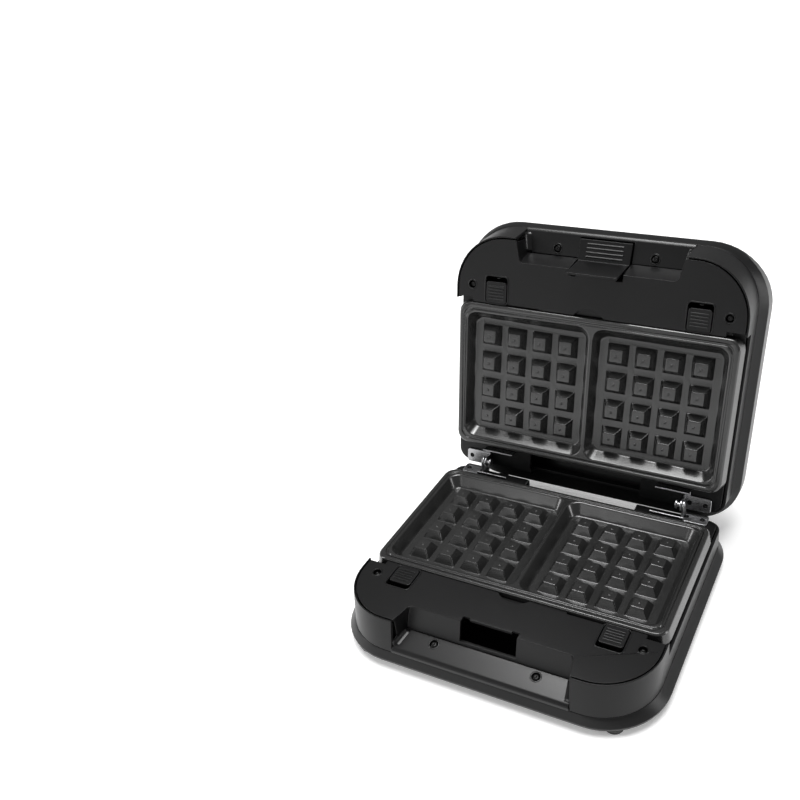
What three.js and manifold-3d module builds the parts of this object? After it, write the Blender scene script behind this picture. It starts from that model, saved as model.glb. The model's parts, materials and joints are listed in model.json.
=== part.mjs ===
// Two-slice waffle maker, shown open: a base and a lid of the same design, joined by two steel
// hinges at the rear, with a removable waffle plate in each half, a sprung latch on the lid and two
// sprung plate-release buttons on each deck. Millimetres, +Z up, -Y to the front.
//
// Both halves are drawn in one "half frame": x across, y towards the hinges, and z = 0 on the plane
// where the closed halves meet, with the half itself below it. The base stands as drawn. The lid is
// the same drawing turned half a turn about y, then swung open about the hinge pins.
import * as THREE from 'three';
import { mergeVertices } from 'three/addons/utils/BufferGeometryUtils.js';
import Module from 'manifold-3d';

const wasm = await Module();
wasm.setup();

// ---- Driving dimensions ----------------------------------------------------------------------
const CLEAR = 0.3; // gap between pieces that touch
const WALL = 2.4; // moulded wall thickness
const DEPTH = 45.3; // parting plane to table

const OPEN_ANGLE = 103.76; // degrees from closed to the open stop
const HINGE_Y = 77.9;
const HINGE_Z = 1.5; // above the parting plane

// Outlines in plan: half width, reach to front and rear, corner radii.
const RIM_OUTLINE = { side: 119.6, front: 117.8, rear: 84, frontRadius: 43.2, rearRadius: 10 };
const FOOT_OUTLINE = { side: 120.3, front: 122.4, rear: 84.6, frontRadius: 44, rearRadius: 12 };
const SKIRT_OUTLINE = { side: 126.6, front: 125, rear: 102.5, frontRadius: 48, rearRadius: 38 };

const RIM_TOP = -1.4; // top of the outer wall at the front
const SIDE_TOP = -13.4; // top of the outer wall beside and behind the plate
const STEP_Y = -64.5; // where the wall steps down
const WALL_FOOT = -28.5;
const SKIRT_WIDE = -36;
const SKIRT_END = -38.8;

const DECK_TOP = -1.5;
const DECK_THICK = 2.4;
const SEAM = { lip: 1.1, width: 1, floor: -4.2 }; // groove between the wall's lip and the deck
const LEDGE_TOP = -10.7; // ledge under the plate's flange
const LEDGE_FRONT = 70; // its reach to the front, before the wall's thickness
const REAR_NOTCH = { half: 49.5, z: -21 };

const PLATE = { halfX: 115.8, halfY: 62.3, flare: 2.4, rim: -0.3, skirt: -10.2, radius: 9 };
const CAVITY = { x: 55.1, floorX: 49.1, floorY: 48.7, topX: 53.4, topY: 54.3, floor: -9.7, radius: 6 };
const GRID = { count: 4, pitchX: 22.5, pitchY: 23.25, baseHalf: 8.65, topHalf: 4.9, height: 7 };
const PLATE_THICK = 2.3;

const RECESS = {
  rearHalf: 64.7,
  frontHalf: 68.6,
  rearY: -98.7,
  frontY: -118,
  floorY: -104.2,
  floorZ: -20,
  radius: 4,
  wallEndY: -114.4,
};
const INSERT = { frontY: -121.9, frontZ: -23.8, noseY: -123.2, thick: 2.2 };
const SLOT = { half: 22, y: -95.2, floor: -17.7, notchFrom: 16.5, notchY: -93.4 };

const DECK_SCREW = { x: 105, y: -76.9 };
const INSERT_SCREW = { x: 40, y: -109.6 };
const BUTTON = { x: 83.2, half: 9, front: -81.2, rear: -64, travel: 3.6 };
const LEAF = { inner: 87.2, outer: 109.7, front: 71.7, rear: 83.6, thick: 1.6, z: -10.6 };
const HINGE_HOLES = [92.2, 105.2];
const EAR = { thick: 1.6, radius: 4.6 };
const FOOT = { x: 97, frontY: -111, rearY: 82, radius: 8 };
const GLAND = { x: -76, y: 84, z: -21, hole: 5.5 };
const LENS = { y: -34.5, length: 44, width: 15.4 };
const CROWN = { z: -52.8, frontY: -92.8, rearY: 69.4 };
const LATCH = { half: 20.6, rootY: -103.4, rootZ: -17.2, tipY: -98, tipZ: 9, thick: 1.8, gripY: -119.3 };
const LATCH_PIN = { y: -99, z: -14.6, radius: 1.2 };

// ---- Solids ----------------------------------------------------------------------------------
function solid(geometry) {
  const bare = geometry.clone();
  for (const key of Object.keys(bare.attributes)) {
    if (key !== 'position') bare.deleteAttribute(key);
  }
  const merged = mergeVertices(bare, 1e-4);
  return new wasm.Manifold(new wasm.Mesh({
    numProp: 3,
    vertProperties: Float32Array.from(merged.attributes.position.array),
    triVerts: Uint32Array.from(merged.index.array),
  }));
}

function join(first, ...others) {
  return others.reduce((sum, other) => sum.add(other), first);
}

function cut(first, ...others) {
  return others.reduce((rest, other) => rest.subtract(other), first);
}

function toGeometry(body) {
  const mesh = body.getMesh();
  const geometry = new THREE.BufferGeometry();
  geometry.setAttribute('position', new THREE.BufferAttribute(mesh.vertProperties, 3));
  geometry.setIndex(new THREE.BufferAttribute(mesh.triVerts, 1));
  geometry.computeVertexNormals();
  return geometry;
}

function box(x0, x1, y0, y1, z0, z1) {
  const geometry = new THREE.BoxGeometry(x1 - x0, y1 - y0, z1 - z0);
  geometry.translate((x0 + x1) / 2, (y0 + y1) / 2, (z0 + z1) / 2);
  return solid(geometry);
}

// A bar of constant section along z, from its plan view.
function prismZ(points, z0, z1) {
  const shape = new THREE.Shape(points.map(([x, y]) => new THREE.Vector2(x, y)));
  const geometry = new THREE.ExtrudeGeometry(shape, { depth: z1 - z0, bevelEnabled: false });
  geometry.translate(0, 0, z0);
  return solid(geometry);
}

// A bar of constant section along x, from its side view (y, z).
function prismX(points, x0, x1) {
  const shape = new THREE.Shape(points.map(([y, z]) => new THREE.Vector2(y, z)));
  const geometry = new THREE.ExtrudeGeometry(shape, { depth: x1 - x0, bevelEnabled: false });
  geometry.applyMatrix4(new THREE.Matrix4().set(0, 0, 1, x0, 1, 0, 0, 0, 0, 1, 0, 0, 0, 0, 0, 1));
  return solid(geometry);
}

function cylinderZ(x, y, radius, z0, z1, sides = 16) {
  const geometry = new THREE.CylinderGeometry(radius, radius, z1 - z0, sides);
  geometry.rotateX(Math.PI / 2);
  geometry.translate(x, y, (z0 + z1) / 2);
  return solid(geometry);
}

function cylinderX(x0, x1, y, z, radius, sides = 16) {
  const geometry = new THREE.CylinderGeometry(radius, radius, x1 - x0, sides);
  geometry.rotateZ(Math.PI / 2);
  geometry.translate((x0 + x1) / 2, y, z);
  return solid(geometry);
}

// A turned piece about z from its half section (radius, z).
function turned(profile, sides = 20) {
  const geometry = new THREE.LatheGeometry(profile.map(([r, z]) => new THREE.Vector2(r, z)), sides);
  geometry.rotateX(Math.PI / 2);
  return geometry;
}

// Points round a rectangle in plan with arcs at its corners.
function outline({ side, front, rear, frontRadius, rearRadius }, steps) {
  const corners = [
    { x: side - frontRadius, y: frontRadius - front, radius: frontRadius },
    { x: side - rearRadius, y: rear - rearRadius, radius: rearRadius },
    { x: rearRadius - side, y: rear - rearRadius, radius: rearRadius },
    { x: frontRadius - side, y: frontRadius - front, radius: frontRadius },
  ];
  return corners.flatMap(({ x, y, radius }, corner) => {
    const arc = [];
    for (let step = 0; step <= steps; step += 1) {
      const angle = (corner - 1 + step / steps) * (Math.PI / 2);
      arc.push([x + radius * Math.cos(angle), y + radius * Math.sin(angle)]);
    }
    return arc;
  });
}

function inset(plan, by) {
  return {
    side: plan.side - by,
    front: plan.front - by,
    rear: plan.rear - by,
    frontRadius: Math.max(plan.frontRadius - by, 1),
    rearRadius: Math.max(plan.rearRadius - by, 1),
  };
}

function rectangle(halfX, halfY, radius) {
  return { side: halfX, front: halfY, rear: halfY, frontRadius: radius, rearRadius: radius };
}

// A solid skinned over outlines of equal point counts, listed from the lowest z to the highest.
function loft(sections, steps = 12) {
  const rings = sections.map(({ plan, z }) => outline(plan, steps).map(([x, y]) => [x, y, z]));
  const count = rings[0].length;
  const positions = rings.flat(2);
  const indices = [];
  for (let ring = 0; ring < rings.length - 1; ring += 1) {
    for (let point = 0; point < count; point += 1) {
      const a = ring * count + point;
      const b = ring * count + ((point + 1) % count);
      indices.push(a, b, b + count, a, b + count, a + count);
    }
  }
  const lastRing = (rings.length - 1) * count;
  for (let point = 1; point < count - 1; point += 1) {
    indices.push(0, point + 1, point);
    indices.push(lastRing, lastRing + point, lastRing + point + 1);
  }
  const geometry = new THREE.BufferGeometry();
  geometry.setAttribute('position', new THREE.Float32BufferAttribute(positions, 3));
  geometry.setIndex(indices);
  return solid(geometry);
}

// A round bar along a curve.
function tube(curve, radius, steps, sides) {
  const section = new THREE.Shape();
  section.absarc(0, 0, radius, 0, Math.PI * 2);
  return new THREE.ExtrudeGeometry(section, {
    steps,
    extrudePath: curve,
    curveSegments: sides,
    bevelEnabled: false,
  });
}

class Helix extends THREE.Curve {
  constructor(radius, length, turns) {
    super();
    Object.assign(this, { radius, length, turns });
  }

  getPoint(t, target = new THREE.Vector3()) {
    const angle = t * this.turns * Math.PI * 2;
    return target.set(this.radius * Math.cos(angle), this.radius * Math.sin(angle), this.length * t);
  }

  getLength() {
    return Math.hypot(this.length, this.turns * Math.PI * 2 * this.radius);
  }

  getPointAt(t, target) {
    return this.getPoint(t, target);
  }
}

function coilSpring(radius, wire, length, turns) {
  return tube(new Helix(radius, length, turns), wire, turns * 7, 2);
}

// ---- Shells ----------------------------------------------------------------------------------
function recessPlan(grow, frontY) {
  const slope = (RECESS.frontHalf - RECESS.rearHalf) / (RECESS.rearY - RECESS.frontY);
  const frontHalf = RECESS.rearHalf + slope * (RECESS.rearY - frontY) + grow;
  const corner = [];
  for (let step = 0; step <= 4; step += 1) {
    const angle = (step / 4) * (Math.PI / 2);
    const { radius } = RECESS;
    corner.push([
      RECESS.rearHalf + grow - radius * (1 - Math.cos(angle)),
      RECESS.rearY - radius * (1 - Math.sin(angle)),
    ]);
  }
  const mirrored = corner.map(([x, y]) => [-x, y]).reverse();
  return [...corner, ...mirrored, [-frontHalf, frontY], [frontHalf, frontY]];
}

// The outer wall, open for the hand at the front, lower beside the plate, notched between the hinges.
function housing(glandHole) {
  const outer = loft([{ plan: FOOT_OUTLINE, z: WALL_FOOT }, { plan: RIM_OUTLINE, z: RIM_TOP }]);
  const inner = loft([
    { plan: inset(FOOT_OUTLINE, WALL), z: WALL_FOOT - 1 },
    { plan: inset(RIM_OUTLINE, WALL), z: RIM_TOP + 1 },
  ]);
  const stepDown = box(-130, 130, STEP_Y, 130, SIDE_TOP, 10);
  const rearNotch = box(-REAR_NOTCH.half, REAR_NOTCH.half, 60, 130, REAR_NOTCH.z, 10);
  const handOpening = prismZ(recessPlan(0, -130), -40, 10);
  const lipInside = inset(RIM_OUTLINE, SEAM.lip);
  const shoulder = loft([{ plan: lipInside, z: SEAM.floor }, { plan: lipInside, z: 10 }]);
  const shell = cut(outer, inner, shoulder, stepDown, rearNotch, handOpening);
  return glandHole ? cut(shell, glandHole) : shell;
}

// Wall of the base tray and of the lid cover, which flares from the housing out to a wide edge.
function flareSections(by) {
  return [
    { plan: inset(SKIRT_OUTLINE, by), z: SKIRT_WIDE },
    { plan: inset({ ...FOOT_OUTLINE, side: 122, front: 123.2, rear: 90, rearRadius: 22 }, by), z: -31 },
    { plan: inset(FOOT_OUTLINE, by), z: WALL_FOOT - CLEAR },
  ];
}

function baseTray() {
  const edge = { plan: inset(SKIRT_OUTLINE, 0.8), z: SKIRT_END };
  const outer = loft([edge, ...flareSections(0)]);
  const inner = loft([
    { plan: inset(SKIRT_OUTLINE, WALL + 0.6), z: SKIRT_END + WALL },
    ...flareSections(WALL),
    { plan: inset(FOOT_OUTLINE, WALL), z: WALL_FOOT + 2 },
  ]);
  return cut(outer, inner);
}

// The lid's top turns down in a soft bend about y. Points run from the slope to the level part.
function softBend(y, side) {
  const reach = 13;
  const slope = 0.43;
  const points = [];
  for (let step = 0; step <= 6; step += 1) {
    const along = 1 - step / 6;
    points.push([y + side * reach * (2 * along - 1), CROWN.z + slope * reach * along * along]);
  }
  return points;
}

// Side view of the lid's top: level in the middle, sloping to a thin edge at front and rear.
function crownProfile(by) {
  const edge = SKIRT_END - 0.6;
  return [
    [-140, edge + by],
    [-SKIRT_OUTLINE.front, edge + by],
    ...softBend(CROWN.frontY, -1).map(([y, z]) => [y, z + by]),
    ...softBend(CROWN.rearY, 1).reverse().map(([y, z]) => [y, z + by]),
    [SKIRT_OUTLINE.rear, edge + by],
    [140, edge + by],
    [140, SKIRT_WIDE],
    [-140, SKIRT_WIDE],
  ];
}

function crown(by) {
  const block = loft([
    { plan: inset(SKIRT_OUTLINE, by), z: CROWN.z - 2 },
    { plan: inset(SKIRT_OUTLINE, by), z: SKIRT_WIDE },
  ]);
  return block.intersect(prismX(crownProfile(by), -140, 140));
}

function pill(length, width, z0, z1) {
  const radius = width / 2;
  return loft([
    { plan: rectangle(length / 2, radius, radius - 0.01), z: z0 },
    { plan: rectangle(length / 2, radius, radius - 0.01), z: z1 },
  ], 5).translate([0, LENS.y, 0]);
}

function lidCover() {
  const outer = join(crown(0), loft(flareSections(0)));
  const inner = join(
    crown(WALL),
    loft([...flareSections(WALL), { plan: inset(FOOT_OUTLINE, WALL), z: WALL_FOOT + 2 }]),
  );
  const lensHole = pill(LENS.length + 2 * CLEAR, LENS.width + 2 * CLEAR, CROWN.z - 2, CROWN.z + 5);
  return cut(outer, inner, lensHole);
}

// ---- Deck ------------------------------------------------------------------------------------
function deckPlate() {
  const plan = inset(RIM_OUTLINE, SEAM.lip + SEAM.width);
  const plate = loft([{ plan, z: DECK_TOP - DECK_THICK }, { plan, z: DECK_TOP }]);
  return cut(plate, box(-130, 130, -PLATE.halfY - 0.7, 130, -10, 10), prismZ(recessPlan(0, -130), -10, 10));
}

// The ledge that runs under the plate's flange on all four sides and carries the hinge leaves.
function deckLedge() {
  const plan = inset({ ...RIM_OUTLINE, front: LEDGE_FRONT }, WALL + CLEAR);
  const ledge = loft([
    { plan: { ...plan, frontRadius: 6 }, z: LEDGE_TOP - DECK_THICK },
    { plan: { ...plan, frontRadius: 6 }, z: LEDGE_TOP },
  ], 4);
  const opening = loft([
    { plan: rectangle(107.2, 53.5, 6), z: -20 },
    { plan: rectangle(107.2, 53.5, 6), z: 0 },
  ], 4);
  return cut(ledge, opening, box(-REAR_NOTCH.half, REAR_NOTCH.half, 66, 130, -20, 0));
}

function recessWalls() {
  const thick = DECK_THICK;
  const back = prismX([
    [RECESS.rearY, DECK_TOP],
    [RECESS.floorY, RECESS.floorZ],
    [RECESS.floorY + thick, RECESS.floorZ],
    [RECESS.rearY + thick, DECK_TOP],
  ], -RECESS.rearHalf - thick, RECESS.rearHalf + thick);
  const outerPlan = recessPlan(thick, RECESS.wallEndY);
  const ends = cut(prismZ(outerPlan, RECESS.floorZ, DECK_TOP), prismZ(recessPlan(0, -130), -30, 10));
  return join(back, ends);
}

function slotCut(floor) {
  const cuts = [box(-SLOT.half, SLOT.half, -112, SLOT.y, floor, 10)];
  for (const side of [-1, 1]) {
    const xs = [side * SLOT.notchFrom, side * SLOT.half].sort((a, b) => a - b);
    cuts.push(box(xs[0], xs[1], -112, SLOT.notchY, floor, 10));
  }
  return join(...cuts);
}

function deck(slotFloor) {
  const dropWall = box(-108, 108, -65.6, -PLATE.halfY - 0.7, LEDGE_TOP - DECK_THICK, DECK_TOP);
  const notchFloor = box(-16, 23, -71.5, -PLATE.halfY - 0.7, -7, DECK_TOP);
  const body = join(deckPlate(), deckLedge(), dropWall, notchFloor, recessWalls());
  const cuts = [slotCut(slotFloor)];
  for (const side of [-1, 1]) {
    const x = side * BUTTON.x;
    cuts.push(box(x - 9.6, x + 9.6, BUTTON.front - BUTTON.travel - 0.6, -60, -6, 10));
    cuts.push(cylinderZ(side * DECK_SCREW.x, DECK_SCREW.y, 3.2, -10, 10));
    cuts.push(box(side * 113 - 9, side * 113 + 9, -66.6, -60, -6, 10));
    for (const holeX of HINGE_HOLES) cuts.push(cylinderZ(side * holeX, 77.4, 1.3, -20, 0, 8));
  }
  const fingerNotch = cylinderZ(3.5, -53, 16, -5.2, 10, 36);
  const liftStep = box(45, 74, -64.9, -60, -3.4, 10);
  return cut(body, fingerNotch, liftStep, ...cuts);
}

// Floor of the hand recess, a separate moulding held by two screws.
function handleInsert(latchOpening) {
  const { frontY, frontZ, noseY, thick } = INSERT;
  const back = RECESS.floorY - 0.4;
  const body = prismX([
    [back, RECESS.floorZ - CLEAR],
    [back, RECESS.floorZ - CLEAR - thick],
    [frontY + 3, frontZ - thick],
    [noseY + 2.4, WALL_FOOT + 0.2],
    [noseY, WALL_FOOT + 0.2],
    [noseY + 0.2, frontZ - 2.2],
    [frontY + 0.6, frontZ - 0.5],
    [frontY + 2, frontZ],
  ], -RECESS.frontHalf - 5, RECESS.frontHalf + 5);
  const plan = prismZ(recessPlan(-CLEAR, -130), -40, 0);
  const cuts = [-1, 1].map((side) => cylinderZ(side * INSERT_SCREW.x, INSERT_SCREW.y, 3.2, -40, 0));
  if (latchOpening) cuts.push(box(-SLOT.half, SLOT.half, LATCH.gripY - 0.8, -90, -40, 0));
  return cut(body.intersect(plan), ...cuts);
}

// ---- Plate and heating -----------------------------------------------------------------------
// One block of the grid, with a shallow dimple in its top.
function waffleBlock(x, y) {
  const { baseHalf, topHalf, height } = GRID;
  const top = CAVITY.floor + height;
  const block = loft([
    { plan: rectangle(baseHalf + 0.5, baseHalf + 0.5, 0.6), z: CAVITY.floor - 1 },
    { plan: rectangle(topHalf, topHalf, 0.3), z: top },
  ], 1);
  const dimple = loft([
    { plan: rectangle(0.3, 0.3, 0.1), z: top - 0.6 },
    { plan: rectangle(0.8, 0.8, 0.2), z: top + 0.2 },
  ], 1);
  return cut(block, dimple).translate([x, y, 0]);
}

function cavity(side) {
  const { floorX, floorY, topX, topY, floor, radius } = CAVITY;
  const wide = rectangle(topX + 0.9, topY + 0.9, radius + 3.9);
  return loft([
    { plan: rectangle(floorX - 0.9, floorY - 0.9, radius - 0.9), z: floor },
    { plan: rectangle(floorX + 0.2, floorY + 0.2, radius + 0.2), z: floor + 0.5 },
    { plan: rectangle(floorX + 0.9, floorY + 1.1, radius + 0.6), z: floor + 1.6 },
    { plan: rectangle(topX, topY, radius + 3), z: PLATE.rim - 0.7 },
    { plan: wide, z: PLATE.rim + 0.001 },
    { plan: wide, z: 5 },
  ], 6).translate([side * CAVITY.x, 0, 0]);
}

function cavityShell(side) {
  const wall = PLATE_THICK;
  return loft([
    {
      plan: rectangle(CAVITY.floorX + wall - 0.6, CAVITY.floorY + wall - 0.6, CAVITY.radius + 1),
      z: CAVITY.floor - wall,
    },
    { plan: rectangle(CAVITY.topX + wall, CAVITY.topY + wall, CAVITY.radius + 4), z: PLATE.rim - 0.5 },
  ], 4).translate([side * CAVITY.x, 0, 0]);
}

function rimGroove() {
  const outer = rectangle(112, 58.4, 8);
  const inner = rectangle(110.2, 56.6, 6.2);
  const [z0, z1] = [PLATE.rim - 0.8, 5];
  return cut(
    loft([{ plan: outer, z: z0 }, { plan: outer, z: z1 }], 4),
    loft([{ plan: inner, z: z0 - 1 }, { plan: inner, z: z1 + 1 }], 4),
  );
}

function wafflePlate() {
  const { halfX, halfY, flare, rim, skirt, radius } = PLATE;
  const block = loft([
    { plan: rectangle(halfX + flare, halfY, radius), z: skirt },
    { plan: rectangle(halfX + 0.4, halfY, radius), z: rim - 1.2 },
    { plan: rectangle(halfX - 0.8, halfY - 1, radius), z: rim },
  ], 4);
  const hollow = loft([
    { plan: rectangle(halfX + flare - 2, halfY - 2, radius), z: skirt - 1 },
    { plan: rectangle(halfX - 1.8, halfY - 2, radius), z: rim - 2.6 },
  ], 4);
  const shells = [-1, 1].map(cavityShell);
  const body = join(cut(block, hollow), ...shells);
  const hollowed = cut(body, cavity(-1), cavity(1), rimGroove());
  const blocks = [];
  const middle = (GRID.count - 1) / 2;
  for (const side of [-1, 1]) {
    for (let column = 0; column < GRID.count; column += 1) {
      for (let row = 0; row < GRID.count; row += 1) {
        const x = side * CAVITY.x + (column - middle) * GRID.pitchX;
        blocks.push(waffleBlock(x, (row - middle) * GRID.pitchY));
      }
    }
  }
  return join(hollowed, ...blocks);
}

function reflectorPan() {
  const outer = rectangle(105.4, 52, 6);
  const flange = rectangle(109.5, 56.5, 8);
  const top = LEDGE_TOP - DECK_THICK - CLEAR;
  const body = join(
    loft([{ plan: inset(outer, 6), z: -26.5 }, { plan: outer, z: top }], 3),
    loft([{ plan: flange, z: top - 0.8 }, { plan: flange, z: top }], 3),
  );
  const inside = loft([{ plan: inset(outer, 6.9), z: -25.6 }, { plan: inset(outer, 0.9), z: top + 0.1 }], 3);
  const leads = [-14, 14].map((x) => box(x - 5, x + 5, 40, 70, -22, top - 1.5));
  return cut(body, inside, ...leads);
}

function heatingElement() {
  const path = new THREE.CurvePath();
  const z = -18.6;
  const bend = 12;
  const corners = [[-14, 60], [-14, 34], [-82, 34], [-82, -34], [82, -34], [82, 34], [14, 34], [14, 60]];
  let from = new THREE.Vector3(...corners[0], z);
  for (let index = 1; index < corners.length - 1; index += 1) {
    const corner = new THREE.Vector3(...corners[index], z);
    const next = new THREE.Vector3(...corners[index + 1], z);
    const before = corner.clone().lerp(from, bend / corner.distanceTo(from));
    const after = corner.clone().lerp(next, bend / corner.distanceTo(next));
    path.add(new THREE.LineCurve3(from, before));
    path.add(new THREE.QuadraticBezierCurve3(before, corner, after));
    from = after;
  }
  path.add(new THREE.LineCurve3(from, new THREE.Vector3(...corners.at(-1), z)));
  return tube(path, 3.2, 56, 3);
}

// ---- Small pieces ----------------------------------------------------------------------------
function releaseButton() {
  const { half, front, rear } = BUTTON;
  const pad = box(-half, half, front, rear, -3.6, -0.9);
  const stem = box(-6.5, 6.5, front + 2, rear - 2, -8.6, -3.4);
  const ridges = [];
  for (let ridge = 0; ridge < 5; ridge += 1) {
    const y = front + 4 + ridge * 2.7;
    ridges.push(prismX([[y - 0.8, -1], [y + 0.8, -1], [y, -0.35]], -half + 1.8, half - 1.8));
  }
  return join(pad, stem, ...ridges);
}

function screw(length) {
  return turned([[0, 0], [1.3, 0], [1.3, length - 1.6], [2.8, length - 0.9], [2.8, length], [0, length]], 12);
}

// A stamped leaf with two holes, an ear round the pin at its inner end and an upright strip that
// closes the gap behind the plate. earX is the ear's inner face.
function hingeBracket(side, earX, pinZ) {
  const z0 = LEAF.z + CLEAR;
  const z1 = z0 + LEAF.thick;
  const inner = Math.min(earX, LEAF.inner);
  const leaf = cut(
    loft([
      { plan: rectangle((LEAF.outer - inner) / 2, 5.95, 2.2), z: z0 },
      { plan: rectangle((LEAF.outer - inner) / 2, 5.95, 2.2), z: z1 },
    ], 3).translate([(LEAF.outer + inner) / 2, (LEAF.front + LEAF.rear) / 2, 0]),
    ...HINGE_HOLES.map((x) => cylinderZ(x, HINGE_Y - 0.3, 1.4, -20, 0, 10)),
  );
  const ear = cut(
    join(
      cylinderX(earX, earX + EAR.thick, HINGE_Y, pinZ, EAR.radius),
      box(earX, earX + EAR.thick, HINGE_Y - EAR.radius, HINGE_Y + EAR.radius, z0, pinZ),
    ),
    cylinderX(earX - 1, earX + 4, HINGE_Y, pinZ, 2.3),
  );
  const strip = join(
    box(64, 92, 67, 68.4, z0, -2.4),
    box(88, 92, 67, 72.6, z0, z1),
  );
  const bracket = join(leaf, ear, strip);
  return side < 0 ? bracket.mirror([1, 0, 0]) : bracket;
}

function hingePin(side) {
  const pin = join(
    cylinderX(82.6, 84.2, HINGE_Y, HINGE_Z, 3.6),
    cylinderX(84.1, 90.6, HINGE_Y, HINGE_Z, 2),
  );
  return side < 0 ? pin.mirror([1, 0, 0]) : pin;
}

// The latch: a ribbed grip in the floor of the lid's hand recess and a flat tongue that reaches
// past the parting plane into the base's slot. It turns on a pin through two lugs behind the tongue.
function latch() {
  const { half, rootY, rootZ, tipY, tipZ, thick, gripY } = LATCH;
  const gripZ = -20.8;
  const tongue = prismX([
    [rootY, rootZ],
    [rootY + thick, rootZ],
    [tipY + thick, tipZ],
    [tipY, tipZ],
  ], -half, half);
  const grip = prismX([
    [rootY + thick, rootZ],
    [rootY, rootZ],
    [gripY, gripZ],
    [gripY, gripZ - thick],
    [rootY + 0.2, rootZ - thick - 0.2],
    [rootY + thick, rootZ - 0.2],
  ], -half - 0.8, half + 0.8);
  const lug = (x0, x1) => cylinderX(x0, x1, LATCH_PIN.y, LATCH_PIN.z, 2.4, 12);
  const ridges = [];
  for (let ridge = 0; ridge < 4; ridge += 1) {
    const along = 0.2 + ridge * 0.2;
    const y = rootY + (gripY - rootY) * along;
    const z = rootZ + (gripZ - rootZ) * along;
    ridges.push(prismX([[y + 0.9, z - 0.2], [y, z + 0.9], [y - 0.9, z - 0.6]], -15, 15));
  }
  const body = join(tongue, grip, lug(-half, -7), lug(7, half), ...ridges);
  return cut(body, cylinderX(-30, 30, LATCH_PIN.y, LATCH_PIN.z, LATCH_PIN.radius + CLEAR, 10));
}

function rubberFoot() {
  return turned([[0, 0], [6.2, 0], [7, 0.8], [7, 3], [FOOT.radius, 3.6], [FOOT.radius, 6.2], [0, 6.2]]);
}

function cordGland() {
  const profile = [[2.9, -4], [6.9, -4], [6.9, -1.2], [5.2, -1.2], [5.2, 3.4], [6.4, 3.4], [6.4, 5], [2.9, 5]];
  return turned([...profile, profile[0]], 16);
}

function lensHalf(side) {
  const body = join(
    pill(LENS.length, LENS.width, CROWN.z - 0.3, CROWN.z + WALL),
    pill(LENS.length + 4, LENS.width + 4, CROWN.z + WALL + CLEAR, CROWN.z + WALL + 1.5),
  );
  const bridge = pill(LENS.length - 2, LENS.width - 2, CROWN.z + 1, CROWN.z + WALL + 1);
  const keep = side < 0 ? box(-40, -0.2, -60, 0, -60, 0) : box(0.2, 40, -60, 0, -60, 0);
  return join(body, bridge).intersect(keep);
}

// ---- Materials -------------------------------------------------------------------------------
function material(color, roughness, metalness = 0) {
  return new THREE.MeshStandardMaterial({ color, roughness, metalness });
}

const finish = {
  shell: () => material(0x3c3d3f, 0.42),
  deck: () => material(0x26282a, 0.38),
  insert: () => material(0x45474a, 0.4),
  plate: () => material(0x4a4a4b, 0.34, 0.75),
  steel: () => material(0xb9bcbf, 0.3, 1),
  darkSteel: () => material(0x55585b, 0.45, 0.9),
  rubber: () => material(0x141414, 0.8),
  red: () => material(0xb23a3a, 0.15),
  green: () => material(0x2f8a4a, 0.15),
  ceramic: () => material(0xd9d4c6, 0.6),
  glass: () => material(0xd8c9b0, 0.1),
};

// ---- Assembly --------------------------------------------------------------------------------
function add(group, name, shape, look, place = [0, 0, 0]) {
  const geometry = shape instanceof THREE.BufferGeometry ? shape : toGeometry(shape);
  const mesh = new THREE.Mesh(geometry, look());
  mesh.name = name;
  mesh.position.set(...place);
  group.add(mesh);
  return mesh;
}

const handed = [['left', -1], ['right', 1]];

// Pieces that the base and the lid share. flip is -1 where the half is turned over, so that left
// and right in the names are the user's.
function addHalf(group, { shell, plate, earX, pinZ, flip, latchOpening, glandHole }) {
  add(group, `${shell}_housing`, housing(glandHole), finish.shell);
  add(group, `${shell}_deck`, deck(latchOpening ? LATCH.rootZ - 5 : SLOT.floor), finish.deck);
  add(group, `${shell}_handle_insert`, handleInsert(latchOpening), finish.insert);
  add(group, `${plate}_reflector_pan`, reflectorPan(), finish.steel);
  add(group, `${plate}_heating_element`, heatingElement(), finish.darkSteel);
  add(group, `${plate}_plate`, wafflePlate(), finish.plate);
  for (const [name, hand] of handed) {
    const side = hand * flip;
    const springLength = 7;
    add(group, `${plate}_release_button_${name}`, releaseButton(), finish.deck, [side * BUTTON.x, 0, 0]);
    const spring = add(group, `${plate}_button_spring_${name}`, coilSpring(2, 0.4, springLength, 4),
      finish.steel, [side * BUTTON.x, BUTTON.front + 2 - BUTTON.travel - 0.4, -6.2]);
    spring.rotation.x = Math.PI / 2;
    add(group, `${shell}_deck_screw_${name}`, screw(9), finish.darkSteel,
      [side * DECK_SCREW.x, DECK_SCREW.y, DECK_TOP - 12]);
    add(group, `${shell}_insert_screw_${name}`, screw(8), finish.darkSteel,
      [side * INSERT_SCREW.x, INSERT_SCREW.y, -31]);
    add(group, `hinge_${shell}_bracket_${name}`, hingeBracket(side, earX, pinZ), finish.steel);
  }
}

function addBaseOnly(group) {
  add(group, 'base_cover', baseTray(), finish.shell);
  for (const [depthName, y] of [['front', FOOT.frontY], ['rear', FOOT.rearY]]) {
    for (const [name, side] of handed) {
      add(group, `foot_${depthName}_${name}`, rubberFoot(), finish.rubber, [side * FOOT.x, y, -DEPTH]);
    }
  }
  const gland = add(group, 'cord_gland', cordGland(), finish.rubber, [GLAND.x, GLAND.y, GLAND.z]);
  gland.rotation.x = Math.PI / 2;
  add(group, 'thermostat', cylinderZ(0, -6, 9, -32, -26.9), finish.ceramic);
  add(group, 'thermal_fuse', cylinderX(20, 42, 14, -29.4, 2.2, 12), finish.glass);
  add(group, 'terminal_block', box(-60, -36, 62, 74, -35, -27), finish.ceramic);
  for (const [name, side] of handed) add(group, `hinge_pin_${name}`, hingePin(side), finish.steel);
}

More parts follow.
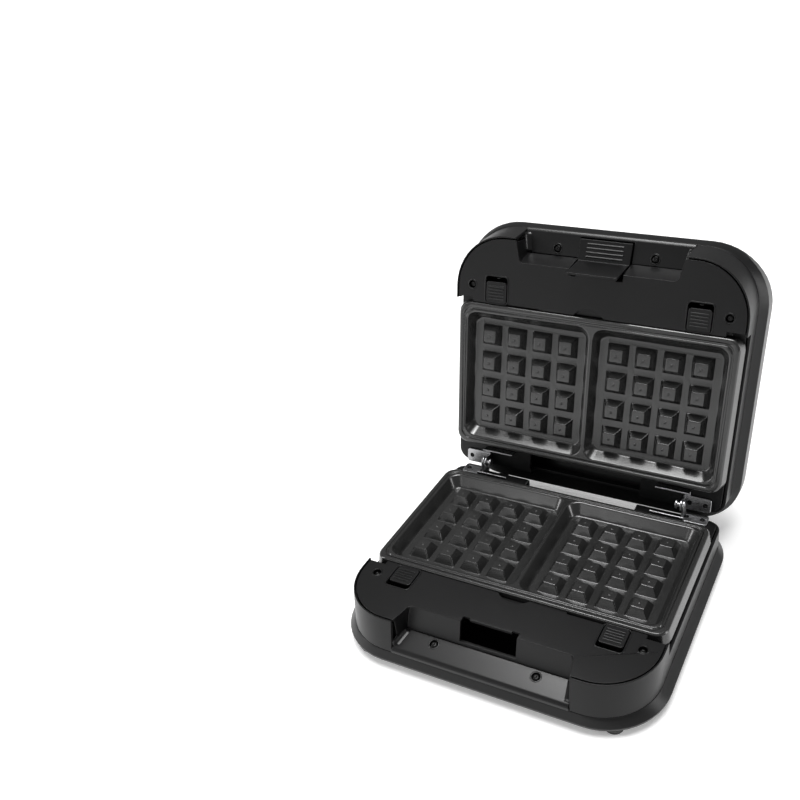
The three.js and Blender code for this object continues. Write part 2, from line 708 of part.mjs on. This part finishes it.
function addLidOnly(group) {
  add(group, 'lid_cover', lidCover(), finish.shell);
  add(group, 'lens_red', lensHalf(1), finish.red);
  add(group, 'lens_green', lensHalf(-1), finish.green);
  for (const [name, side] of [['red', 1], ['green', -1]]) {
    add(group, `indicator_lamp_${name}`, turned([[0, 0], [2, 0], [2, 5], [1, 6.6], [0, 7]], 10),
      finish.glass, [side * 11, LENS.y, CROWN.z + 5]);
  }
  const holder = cut(box(-20, 20, LENS.y - 6, LENS.y + 6, CROWN.z + 8, CROWN.z + 14),
    cylinderZ(-11, LENS.y, 2.4, -60, -30, 10), cylinderZ(11, LENS.y, 2.4, -60, -30, 10));
  add(group, 'indicator_lamp_holder', holder, finish.ceramic);
  add(group, 'latch', latch(), finish.insert);
  add(group, 'latch_pin', cylinderX(-21.6, 21.6, LATCH_PIN.y, LATCH_PIN.z, LATCH_PIN.radius, 10), finish.steel);
  const spring = add(group, 'latch_spring', coilSpring(1.7, 0.25, 10, 5), finish.steel,
    [-5, LATCH_PIN.y, LATCH_PIN.z]);
  spring.rotation.y = Math.PI / 2;
}

const base = new THREE.Group();
addHalf(base, {
  shell: 'base',
  plate: 'lower',
  earX: 88.8,
  pinZ: HINGE_Z,
  flip: 1,
  latchOpening: false,
  glandHole: cylinderZ(0, 0, GLAND.hole, -10, 10).rotate([90, 0, 0]).translate([GLAND.x, GLAND.y, GLAND.z]),
});
addBaseOnly(base);

const lid = new THREE.Group();
addHalf(lid, { shell: 'lid', plate: 'upper', earX: 86.6, pinZ: -HINGE_Z, flip: -1, latchOpening: true });
addLidOnly(lid);
lid.rotation.y = Math.PI; // turned over onto the base

const lidOnHinge = new THREE.Group();
lid.position.set(0, -HINGE_Y, -HINGE_Z);
lidOnHinge.add(lid);
lidOnHinge.position.set(0, HINGE_Y, HINGE_Z);
lidOnHinge.rotation.x = -THREE.MathUtils.degToRad(OPEN_ANGLE);

// The origin is on the table, midway between the foremost and rearmost points of the open maker.
const halves = new THREE.Group();
halves.add(base, lidOnHinge);
const extent = new THREE.Box3().setFromObject(halves, true);
halves.position.set(0, -(extent.min.y + extent.max.y) / 2, DEPTH);

const wafflemaker = new THREE.Group();
wafflemaker.add(halves);

export default wafflemaker;
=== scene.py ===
"""Two-slice waffle maker, open, in a plain pale studio.

Lengths are in metres in the part's own frame, except for the fine pieces, which are in millimetres
in a half frame of their own.
"""
import json
import math

import bmesh
import bpy
from mathutils import Euler, Matrix, Vector


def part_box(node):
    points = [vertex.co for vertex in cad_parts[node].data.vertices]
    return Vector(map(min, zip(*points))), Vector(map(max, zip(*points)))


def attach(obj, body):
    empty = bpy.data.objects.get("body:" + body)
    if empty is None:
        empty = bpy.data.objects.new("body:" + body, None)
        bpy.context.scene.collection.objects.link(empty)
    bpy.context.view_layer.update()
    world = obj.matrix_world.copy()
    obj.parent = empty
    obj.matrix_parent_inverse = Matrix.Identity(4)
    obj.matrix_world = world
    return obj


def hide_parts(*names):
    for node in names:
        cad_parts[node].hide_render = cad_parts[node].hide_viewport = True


MM = 0.001

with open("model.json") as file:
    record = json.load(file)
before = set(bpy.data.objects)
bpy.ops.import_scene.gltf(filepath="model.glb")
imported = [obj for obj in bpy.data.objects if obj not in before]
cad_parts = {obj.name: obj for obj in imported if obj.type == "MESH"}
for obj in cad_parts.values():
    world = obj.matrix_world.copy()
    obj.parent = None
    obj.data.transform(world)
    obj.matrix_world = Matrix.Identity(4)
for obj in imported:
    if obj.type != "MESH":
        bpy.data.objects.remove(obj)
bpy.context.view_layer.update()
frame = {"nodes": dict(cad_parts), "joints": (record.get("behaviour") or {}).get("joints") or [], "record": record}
nodes = frame["nodes"]


# ---- Node helpers ------------------------------------------------------------------------------
NOISE_SPAN = (0.3, 0.7)  # most of a noise texture's values lie between these
RAMP_SPAN = (0.35, 0.65)  # a blend is all first colour below, and all second colour above
BRUSH_STRETCH = (1, 14, 14)  # long cells along x


def shader(name, color, roughness, metallic=0.0, specular=0.5):
    """A new material, with its node tree and Principled BSDF."""
    material = bpy.data.materials.new(name)
    material.use_nodes = True
    tree = material.node_tree
    bsdf = tree.nodes["Principled BSDF"]
    bsdf.inputs["Base Color"].default_value = (*color, 1.0)
    bsdf.inputs["Roughness"].default_value = roughness
    bsdf.inputs["Metallic"].default_value = metallic
    bsdf.inputs["Specular IOR Level"].default_value = specular
    return material, tree, bsdf


def noise(tree, cells, detail=3.0, roughness=0.55, stretch=(1, 1, 1)):
    """Noise over the object's own coordinates, with this many cells per metre."""
    coords = tree.nodes.new("ShaderNodeTexCoord")
    mapping = tree.nodes.new("ShaderNodeMapping")
    mapping.inputs["Scale"].default_value = stretch
    texture = tree.nodes.new("ShaderNodeTexNoise")
    texture.inputs["Scale"].default_value = cells
    texture.inputs["Detail"].default_value = detail
    texture.inputs["Roughness"].default_value = roughness
    tree.links.new(coords.outputs["Object"], mapping.inputs["Vector"])
    tree.links.new(mapping.outputs["Vector"], texture.inputs["Vector"])
    return texture.outputs["Fac"]


def prisms(tree, cells):
    """Cells over the object's own coordinates, each darkest at its middle."""
    coords = tree.nodes.new("ShaderNodeTexCoord")
    texture = tree.nodes.new("ShaderNodeTexVoronoi")
    texture.inputs["Scale"].default_value = cells
    tree.links.new(coords.outputs["Object"], texture.inputs["Vector"])
    return texture.outputs["Distance"]


def remap(tree, value, low, high):
    """A noise value spread over low to high."""
    node = tree.nodes.new("ShaderNodeMapRange")
    node.inputs["From Min"].default_value, node.inputs["From Max"].default_value = NOISE_SPAN
    node.inputs["To Min"].default_value = low
    node.inputs["To Max"].default_value = high
    tree.links.new(value, node.inputs["Value"])
    return node.outputs["Result"]


def blend_colors(tree, factor, first, second):
    """The first colour where factor is low, and the second where it is high."""
    ramp = tree.nodes.new("ShaderNodeValToRGB")
    for element, position, color in zip(ramp.color_ramp.elements, RAMP_SPAN, (first, second)):
        element.position = position
        element.color = (*color, 1.0)
    tree.links.new(factor, ramp.inputs["Fac"])
    return ramp.outputs["Color"]


def bump(tree, bsdf, *layers):
    """Stacks bump layers, each (height, strength, distance in metres)."""
    previous = None
    for height, strength, distance in layers:
        node = tree.nodes.new("ShaderNodeBump")
        node.inputs["Strength"].default_value = strength
        node.inputs["Distance"].default_value = distance
        tree.links.new(height, node.inputs["Height"])
        if previous:
            tree.links.new(previous, node.inputs["Normal"])
        previous = node.outputs["Normal"]
    tree.links.new(previous, bsdf.inputs["Normal"])


def tint(color, factor):
    """The same colour, lighter above a factor of 1 and darker below it."""
    return tuple(channel * factor for channel in color)


# ---- Looks -------------------------------------------------------------------------------------
def moulded(name, color, roughness, grain=0.03, specular=0.45):
    """Spark-eroded moulding: a fine grain, slight changes of gloss, and a trace of sink and flow."""
    material, tree, bsdf = shader(name, color, roughness, specular=specular)
    flow = noise(tree, cells=22, detail=2)
    sparks = noise(tree, cells=2600, detail=2)
    gloss = noise(tree, cells=420, detail=2)
    shade = blend_colors(tree, flow, tint(color, 0.92), tint(color, 1.1))
    tree.links.new(shade, bsdf.inputs["Base Color"])
    tree.links.new(remap(tree, gloss, roughness - grain / 2, roughness + grain / 2), bsdf.inputs["Roughness"])
    bump(tree, bsdf, (flow, 0.02, 0.2 * MM), (sparks, grain, 0.03 * MM))
    return material


def coated_metal(name, color):
    """Non-stick coating sprayed over cast aluminium: orange peel, faint specks and a soft metal sheen."""
    material, tree, bsdf = shader(name, color, roughness=0.24, metallic=0.35, specular=1.0)
    peel = noise(tree, cells=520)
    specks = noise(tree, cells=3200, detail=1)
    gloss = noise(tree, cells=90, detail=2)
    tree.links.new(blend_colors(tree, specks, color, tint(color, 1.2)), bsdf.inputs["Base Color"])
    tree.links.new(remap(tree, gloss, low=0.23, high=0.26), bsdf.inputs["Roughness"])
    bump(tree, bsdf, (peel, 0.025, 0.02 * MM))
    return material


def brushed(name, color, roughness):
    """Stamped or drawn steel, with fine lines along x."""
    material, tree, bsdf = shader(name, color, roughness, metallic=1.0)
    lines = noise(tree, cells=180, detail=4, roughness=0.7, stretch=BRUSH_STRETCH)
    tree.links.new(blend_colors(tree, lines, tint(color, 0.75), color), bsdf.inputs["Base Color"])
    tree.links.new(remap(tree, lines, roughness - 0.04, roughness + 0.05), bsdf.inputs["Roughness"])
    bump(tree, bsdf, (lines, 0.03, 0.01 * MM))
    return material


def lens_plastic(name, color):
    """Clear tinted moulding with small prisms on its back, each with a painted glint at its middle."""
    material, tree, bsdf = shader(name, color, roughness=0.12)
    bsdf.inputs["Transmission Weight"].default_value = 0.35
    bsdf.inputs["IOR"].default_value = 1.49
    cells = prisms(tree, cells=480)
    # A paler tint at the middle of each prism: a painted glint.
    lighter = tuple(min(1, channel * 1.8 + 0.02) for channel in color)
    tree.links.new(blend_colors(tree, cells, lighter, color), bsdf.inputs["Base Color"])
    tree.links.new(remap(tree, noise(tree, cells=300), low=0.08, high=0.18), bsdf.inputs["Roughness"])
    bump(tree, bsdf, (cells, 0.25, 0.2 * MM))
    return material


looks = {
    "shell_plastic": moulded("shell_plastic", (0.008, 0.008, 0.0082), 0.34, specular=0.2),
    "deck_plastic": moulded("deck_plastic", (0.005, 0.005, 0.0052), 0.33, grain=0.012, specular=0.26),
    "insert_plastic": moulded("insert_plastic", (0.006, 0.006, 0.0062), 0.29, grain=0.008, specular=0.34),
    "coated_aluminium": coated_metal("coated_aluminium", (0.02, 0.02, 0.0198)),
    "pan_steel": brushed("pan_steel", (0.5, 0.5, 0.5), 0.35),
    "element_steel": brushed("element_steel", (0.12, 0.11, 0.1), 0.5),
    "hinge_steel": brushed("hinge_steel", (0.45, 0.45, 0.46), 0.28),
    # Spring steel darkened to a dark grey: painted shade for the pockets under the buttons, where the springs
    # show.
    "spring_steel": brushed("spring_steel", (0.12, 0.12, 0.12), 0.4),
    "screw_steel": brushed("screw_steel", (0.02, 0.02, 0.02), 0.35),
    "fitting_plastic": moulded("fitting_plastic", (0.55, 0.52, 0.45), 0.5),
    "lamp_glass": lens_plastic("lamp_glass", (0.6, 0.5, 0.35)),
    "rubber": moulded("rubber", (0.012, 0.012, 0.012), 0.65, grain=0.1),
    "red_lens": lens_plastic("red_lens", (0.32, 0.02, 0.02)),
    "green_lens": lens_plastic("green_lens", (0.02, 0.2, 0.045)),
}


# ---- CAD pieces --------------------------------------------------------------------------------
COMMON_EDGE = 0.4 * MM
DECK_EDGE = 0.3 * MM
CAST_EDGE = 0.5 * MM
UNROUNDED = ("spring", "element", "screw", "lamp", "fuse")  # words in the names of nodes left as they are
WELD_DISTANCE = 0.01 * MM
FLAT_ANGLE = math.radians(1)  # faces that meet at less than this become one
EDGE_ANGLE = math.radians(28)  # edges sharper than this are rounded


def edge_width(node):
    """How far a node's rounded edges reach to each side of the edge."""
    if any(word in node for word in UNROUNDED):
        return 0
    if node.endswith("_deck"):
        return DECK_EDGE
    return CAST_EDGE if node.endswith("_plate") else COMMON_EDGE


def repaint(mesh, material):
    """One material and smooth shading, with none of the CAD's own normals."""
    mesh.materials.clear()
    mesh.materials.append(material)
    for layer in ("custom_normal", "sharp_edge", "sharp_face"):
        if layer in mesh.attributes:
            mesh.attributes.remove(mesh.attributes[layer])
    mesh.polygons.foreach_set("use_smooth", [True] * len(mesh.polygons))


def round_edges(obj, width, flatten, split):
    """Modifiers that join the CAD's triangles, if flatten, and round the edges between them.

    split cuts the joined faces into triangles again, because a deck's are long and full of notches.
    """
    obj.modifiers.new("seams", "WELD").merge_threshold = WELD_DISTANCE
    if flatten:
        dissolve = obj.modifiers.new("flats", "DECIMATE")
        dissolve.decimate_type = "DISSOLVE"
        dissolve.angle_limit = FLAT_ANGLE
    if split:
        obj.modifiers.new("even triangles", "TRIANGULATE").min_vertices = 5
    if width:
        edge = obj.modifiers.new("edges", "BEVEL")
        edge.width = width
        edge.segments = 2
        edge.limit_method = "ANGLE"
        edge.angle_limit = EDGE_ANGLE
        edge.use_clamp_overlap = False
    weighted = obj.modifiers.new("shading", "WEIGHTED_NORMAL")
    weighted.keep_sharp = False
    weighted.weight = 100


for part in frame["record"]["subparts"]:
    node = part["node"]
    repaint(nodes[node].data, looks[part["material_slot"]])
    round_edges(nodes[node], edge_width(node), not node.endswith("_plate"), node.endswith("_deck"))


# ---- Sizes of the fine pieces ------------------------------------------------------------------
# Both halves are described in one half frame, in millimetres: x across, y towards the hinges, z = 0
# where the closed halves meet. The lid is the base turned over and swung open about the hinge.
SIDES = (("left", -1), ("right", 1))
PLATE_TOP = -0.3
DECK_TOP = -1.5

# Turned pieces, as (radius, z) round half of their section.
SCREW_HEAD = [(0.01, -8), (1.3, -8), (1.3, -1.9), (2.8, -1.2), (2.8, -0.6), (2.55, -0.2), (2.0, 0.15),
              (1.2, 0.4), (0.8, 0.4), (0.6, 0.25), (0.01, 0.2)]
SCREW_RIM = [(3.2, -0.3), (3.2, 0.1), (3.4, 0.28), (3.9, 0.28), (4.3, 0.05), (4.3, -0.3)]
HINGE_SCREW = [(0.01, -0.2), (2.1, -0.2), (2.1, 0.2), (1.8, 0.55), (1.0, 0.75), (0.75, 0.6), (0.01, 0.1)]
BLOCK_MARK = [(1.1, -0.2), (1.1, 0.02), (0.8, 0.26), (0.4, 0.42), (0.01, 0.46)]

# x is on the right-hand side of the base, and sunk is how far the head lies below its rim.
INSERT_TILT = math.atan2(3.5, 15.3)  # the insert drops 3.5 over its 15.3 towards the front
SCREWS = {
    "deck": {"x": 105, "y": -76.9, "z": DECK_TOP, "sunk": 1.5, "tilt": 0.0},
    "insert": {"x": 40, "y": -109.6, "z": -21.45, "sunk": 0.2, "tilt": INSERT_TILT},
}
HINGE_SCREWS = {"x": (92.2, 105.2), "y": 77.6, "z": -8.95}

# Release buttons: a pad on a stem, with ridges across it, in a frame on the deck.
BUTTON = {"x": 83.2, "y": -72.6, "pad_z": -0.9, "stem_z": -3.55, "frame_y": -74.65}
PAD = {"half_x": 9, "half_y": 8.6, "radius": 2.2, "low": -2.7, "high": 0, "soft": 0.6}
STEM = {"half_x": 6.5, "half_y": 6.6, "radius": 0.8, "low": -5, "high": 0, "soft": 0.3}
RIDGE = {"half_x": 7.0, "half_y": 0.7, "radius": 0.65, "low": -0.2, "high": 0.7, "soft": 0.55}
RIDGES = {"count": 5, "first_y": -77.6, "pitch": 2.5, "z": -0.95}

# Frames with an open middle, as (half x, half y, corner radius, z) from the inner foot outwards.
BUTTON_FRAME = [(9.7, 10.75, 2.6, -0.1), (9.7, 10.75, 2.6, 0.25), (9.95, 11.0, 2.8, 0.45),
                (10.5, 11.5, 3.3, 0.45), (10.8, 11.8, 3.6, 0.2), (10.8, 11.8, 3.6, -0.1)]
LENS_BEZEL = [(22.4, 8.1, 8.0, 0.1), (22.4, 8.1, 8.0, -0.4), (22.7, 8.4, 8.3, -0.6),
              (23.2, 8.9, 8.8, -0.6), (23.6, 9.3, 9.2, -0.3), (23.6, 9.3, 9.2, 0.1)]
LENS_PLACE = (0, -34.5, -52.8)

# The hand recess widens to the front, by spread per millimetre. The insert is its floor. A curl's
# foot is a little wider than its arc and sunk below the insert's top, and gap is left to the wall.
RECESS = {"half": 64.7, "rear_y": -98.7, "spread": 0.2021}
INSERT = {"rear_y": -104.9, "rear_z": -20.35, "slope": 0.2288}
CURL = {"radius": 4.2, "rings": 7, "pitch": 2.5, "steps": 8, "gap": 0.1, "foot": 0.05, "sunk": 0.25}

CAVITY_X = 55.1
BLOCKS = {"count": 4, "pitch_x": 22.5, "pitch_y": 23.25, "top": -2.7}


# ---- Mesh helpers ------------------------------------------------------------------------------
def half_frames():
    """Matrices from the half frame to each half's place at rest.

    The hinge turns about -x to close, so its closed limit is also the turn about +x that opens it.
    """
    plate_low, plate_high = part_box("lower_plate")
    plate_middle = (plate_low.y + plate_high.y) / 2
    base = Matrix.Translation((0, plate_middle, plate_high.z - PLATE_TOP * MM))
    hinge = next(joint for joint in frame["joints"] if joint["name"] == "lid_hinge")
    pin = Vector(hinge["pos_m"])
    swing = Matrix.Rotation(math.radians(hinge["range_deg"][0]), 4, "X")
    turned_over = base @ Matrix.Rotation(math.pi, 4, "Y")
    lid = Matrix.Translation(pin) @ swing @ Matrix.Translation(-pin) @ turned_over
    scale = Matrix.Scale(MM, 4)
    return {"base": base @ scale, "lid": lid @ scale}


HALF = half_frames()


def skin(rings, matrix, capped, first):
    """Points and faces of a skin over rings, its points numbered from first.

    The rings end in caps, or close on themselves as a torus does.
    """
    count = len(rings[0])
    points = [matrix @ Vector(point) for ring in rings for point in ring]
    faces = []
    for ring in range(len(rings) - 1 if capped else len(rings)):
        here = first + ring * count
        there = first + (ring + 1) % len(rings) * count
        for index in range(count):
            after = (index + 1) % count
            faces.append((here + index, here + after, there + after, there + index))
    if capped:
        faces.append(tuple(reversed(range(first, first + count))))
        faces.append(tuple(range(first + (len(rings) - 1) * count, first + len(rings) * count)))
    return points, faces


def smooth_mesh(name, points, faces):
    """A mesh with its faces outward and smooth."""
    mesh = bpy.data.meshes.new(name)
    mesh.from_pydata(points, [], faces)
    outward = bmesh.new()
    outward.from_mesh(mesh)
    bmesh.ops.recalc_face_normals(outward, faces=outward.faces[:])
    outward.to_mesh(mesh)
    outward.free()
    mesh.polygons.foreach_set("use_smooth", [True] * len(mesh.polygons))
    return mesh


def piece(name, rings, half, places, body, slot, tilt=0.0, capped=True):
    """One object with the same skin at each place of a half frame, riding on a body."""
    points = []
    faces = []
    for place in places:
        matrix = HALF[half] @ Matrix.Translation(place) @ Matrix.Rotation(tilt, 4, "X")
        more_points, more_faces = skin(rings, matrix, capped, len(points))
        points += more_points
        faces += more_faces
    mesh = smooth_mesh(name, points, faces)
    mesh.materials.append(looks[slot])
    made = bpy.data.objects.new(name, mesh)
    bpy.context.scene.collection.objects.link(made)
    made.modifiers.new("shading", "WEIGHTED_NORMAL")
    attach(made, body)
    return made


def rounded_ring(half_x, half_y, radius, z, steps=6):
    """Points round a rectangle with round corners, at one height."""
    ring = []
    for corner in range(4):
        sign_x = 1 if corner in (0, 3) else -1
        sign_y = 1 if corner in (0, 1) else -1
        for step in range(steps + 1):
            angle = (corner + step / steps) * math.pi / 2
            ring.append((sign_x * (half_x - radius) + radius * math.cos(angle),
                         sign_y * (half_y - radius) + radius * math.sin(angle), z))
    return ring


def circle_rings(profile, steps=24):
    """Rings for a turned piece, from its (radius, z) profile."""
    return [[(r * math.cos(2 * math.pi * k / steps), r * math.sin(2 * math.pi * k / steps), z)
             for k in range(steps)] for r, z in profile]


def pad_rings(half_x, half_y, radius, low, high, soft, steps=4):
    """Rings for a flat pad whose top edge is rounded by soft."""
    rings = [rounded_ring(half_x, half_y, radius, low), rounded_ring(half_x, half_y, radius, high - soft)]
    for step in range(1, steps + 1):
        angle = step / steps * math.pi / 2
        shrink = soft * (1 - math.cos(angle))
        rings.append(rounded_ring(half_x - shrink, half_y - shrink, max(radius - shrink, 0.05),
                                  high - soft + soft * math.sin(angle)))
    return rings


def frame_rings(sections):
    """Rings for a frame with an open middle, from its (half x, half y, radius, z) sections."""
    return [rounded_ring(*section) for section in sections]


# ---- Fine pieces -------------------------------------------------------------------------------
# hand is 1 or -1, the sign of x in the half frame. The lid is turned over, so its left has hand 1.
def screws(half, side_name, hand):
    """The screws in one side of the deck and of the insert, each in a raised rim."""
    for kind, screw in SCREWS.items():
        x, y, z = hand * screw["x"], screw["y"], screw["z"]
        piece(f"{half}_{kind}_screw_rim_{side_name}", circle_rings(SCREW_RIM), half, [(x, y, z)], half,
              f"{kind}_plastic", screw["tilt"], capped=False)
        head = piece(f"{half}_{kind}_screw_head_{side_name}", circle_rings(SCREW_HEAD), half,
                     [(x, y, z - screw["sunk"])], half, "screw_steel", screw["tilt"])
        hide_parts(f"{half}_{kind}_screw_{side_name}")


def hinge_screws(half, side_name, hand):
    """The heads of the two screws in one leaf of a hinge."""
    places = [(hand * x, HINGE_SCREWS["y"], HINGE_SCREWS["z"]) for x in HINGE_SCREWS["x"]]
    piece(f"{half}_hinge_screws_{side_name}", circle_rings(HINGE_SCREW, 20), half, places, half,
          "screw_steel")


def release_button(half, plate, side_name, hand):
    """A button that frees the plate, and the frame round it."""
    x, y = hand * BUTTON["x"], BUTTON["y"]
    body = f"{plate}_release_button_{side_name}"
    pad = piece(f"{plate}_button_pad_{side_name}", pad_rings(**PAD), half, [(x, y, BUTTON["pad_z"])], body,
                "deck_plastic")
    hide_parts(body)
    piece(f"{plate}_button_stem_{side_name}", pad_rings(**STEM), half, [(x, y, BUTTON["stem_z"])], body,
          "deck_plastic")
    ridges = [(x, RIDGES["first_y"] + ridge * RIDGES["pitch"], RIDGES["z"])
              for ridge in range(RIDGES["count"])]
    piece(f"{plate}_button_ridges_{side_name}", pad_rings(**RIDGE), half, ridges, body, "insert_plastic")
    piece(f"{plate}_button_frame_{side_name}", frame_rings(BUTTON_FRAME), half,
          [(x, BUTTON["frame_y"], DECK_TOP)], half, "deck_plastic", capped=False)


def curl_ring(y):
    """The curl's section at y, where x is positive: an arc from the insert up to the recess's end wall."""
    radius = CURL["radius"]
    reach = RECESS["half"] + RECESS["spread"] * (RECESS["rear_y"] - y) - CURL["gap"]
    floor = INSERT["rear_z"] + INSERT["slope"] * (y - INSERT["rear_y"])
    ring = [(reach + CURL["foot"], y, floor - CURL["sunk"]), (reach - radius, y, floor - CURL["sunk"])]
    for step in range(CURL["steps"] + 1):
        angle = step / CURL["steps"] * math.pi / 2
        ring.append((reach - radius + radius * math.sin(angle), y, floor + radius * (1 - math.cos(angle))))
    return ring


def insert_curl(half, side_name, hand):
    """The end of the handle insert curls up against the end wall of the hand recess."""
    rings = []
    for step in range(CURL["rings"]):
        ring = [(hand * x, y, z) for x, y, z in curl_ring(INSERT["rear_y"] - step * CURL["pitch"])]
        rings.append(ring if hand > 0 else ring[::-1])
    piece(f"{half}_insert_curl_{side_name}", rings, half, [(0, 0, 0)], half, "insert_plastic")


def block_marks(half, plate):
    """A small raised casting mark on the top of each waffle block."""
    count = BLOCKS["count"]
    middle = (count - 1) / 2
    places = [(cavity * CAVITY_X + (column - middle) * BLOCKS["pitch_x"], (row - middle) * BLOCKS["pitch_y"],
               BLOCKS["top"])
              for cavity in (-1, 1) for column in range(count) for row in range(count)]
    piece(f"{plate}_plate_block_marks", circle_rings(BLOCK_MARK, 14), half, places, f"{plate}_plate",
          "coated_aluminium")


def lens_bezel():
    """The rim round the lamp lenses, on the lid's outside."""
    piece("lens_bezel", frame_rings(LENS_BEZEL), "lid", [LENS_PLACE], "lid", "insert_plastic", capped=False)


for half, plate in (("base", "lower"), ("lid", "upper")):
    for side_name, side in SIDES:
        hand = side if half == "base" else -side
        screws(half, side_name, hand)
        hinge_screws(half, side_name, hand)
        release_button(half, plate, side_name, hand)
        insert_curl(half, side_name, hand)
    block_marks(half, plate)
lens_bezel()


# ---- Studio ------------------------------------------------------------------------------------
FLOOR_SIZE = 30
FLOOR_GLOW = 0.2  # softens the shadow under the object
WORLD_FILL = 0.25  # the world's strength as light
WORLD_SEEN = 1.0  # its strength where the camera sees it
SUN = {"strength": 2.45, "angle": math.radians(32)}
AREA_LIGHTS = {
    "strip": {"place": (-0.28, 0.26, 1.2), "target": (0.03, 0, 0.05), "size": (0.26, 0.4), "watts": 4.5},
    "front": {"place": (-0.5, -1.4, 0.65), "target": (0, 0, 0.05), "size": (0.5, 0.3), "watts": 1.3},
    "left": {"place": (-1.5, -0.9, 0.7), "target": (0, 0, 0.1), "size": (0.35, 1.2), "watts": 12},
    "right": {"place": (1.5, 0.3, 0.5), "target": (0, 0, 0.1), "size": (0.35, 1.0), "watts": 8},
}


def area_light(name, place, target, size, watts):
    """A rectangular lamp at place, facing target."""
    data = bpy.data.lights.new(name, "AREA")
    data.shape = "RECTANGLE"
    data.size, data.size_y = size
    data.energy = watts
    light = bpy.data.objects.new(name, data)
    light.location = place
    light.rotation_euler = (Vector(target) - Vector(place)).to_track_quat("-Z", "Y").to_euler()
    bpy.context.scene.collection.objects.link(light)


def paper():
    """Seamless white paper with a barely visible tooth."""
    material, tree, bsdf = shader("floor_paper", (0.95, 0.95, 0.95), roughness=0.9, specular=0.1)
    bsdf.inputs["Emission Color"].default_value = (1, 1, 1, 1)
    bsdf.inputs["Emission Strength"].default_value = FLOOR_GLOW
    bump(tree, bsdf, (noise(tree, cells=900), 0.05, 0.05 * MM))
    return material


def backdrop():
    """A wide floor under the object."""
    bpy.ops.mesh.primitive_grid_add(size=FLOOR_SIZE, x_subdivisions=2, y_subdivisions=2)
    floor = bpy.context.object
    floor.name = "floor"
    floor.data.materials.append(paper())


def white_world():
    """A world that is white to the camera and dimmer as a light."""
    world = bpy.data.worlds.new("studio")
    world.use_nodes = True
    tree = world.node_tree
    background = tree.nodes["Background"]
    background.inputs["Color"].default_value = (1, 1, 1, 1)
    path = tree.nodes.new("ShaderNodeLightPath")
    strength = tree.nodes.new("ShaderNodeMapRange")
    strength.inputs["To Min"].default_value = WORLD_FILL
    strength.inputs["To Max"].default_value = WORLD_SEEN
    tree.links.new(path.outputs["Is Camera Ray"], strength.inputs["Value"])
    tree.links.new(strength.outputs["Result"], background.inputs["Strength"])
    bpy.context.scene.world = world
    bpy.context.scene.view_settings.view_transform = "Standard"


def lights():
    """A broad light from straight above, and four lamps."""
    sun = bpy.data.lights.new("overhead", "SUN")
    sun.energy = SUN["strength"]
    sun.angle = SUN["angle"]
    overhead = bpy.data.objects.new("overhead", sun)
    bpy.context.scene.collection.objects.link(overhead)
    for name, settings in AREA_LIGHTS.items():
        area_light(name, **settings)


# ---- Camera ------------------------------------------------------------------------------------
SENSOR_WIDTH = 36  # in millimetres, as is the focal length
FOCAL_LENGTH = 39.0072
LENS_SHIFT = (-0.125, 0.07125)
CAMERA_PLACE = (0.216874, -0.486175, 0.489847)
CAMERA_TURN = (54.6987, 3.9508, 25.3506)  # degrees about x, y and z
NEAREST_SEEN = 0.01


def camera():
    """A camera in front, to the right and above, looking down at the open halves."""
    data = bpy.data.cameras.new("camera")
    data.sensor_width = SENSOR_WIDTH
    data.lens = FOCAL_LENGTH
    data.shift_x, data.shift_y = LENS_SHIFT
    data.clip_start = NEAREST_SEEN
    view = bpy.data.objects.new("camera", data)
    view.location = CAMERA_PLACE
    view.rotation_euler = Euler([math.radians(angle) for angle in CAMERA_TURN])
    bpy.context.scene.collection.objects.link(view)
    bpy.context.scene.camera = view


backdrop()
white_world()
lights()
camera()
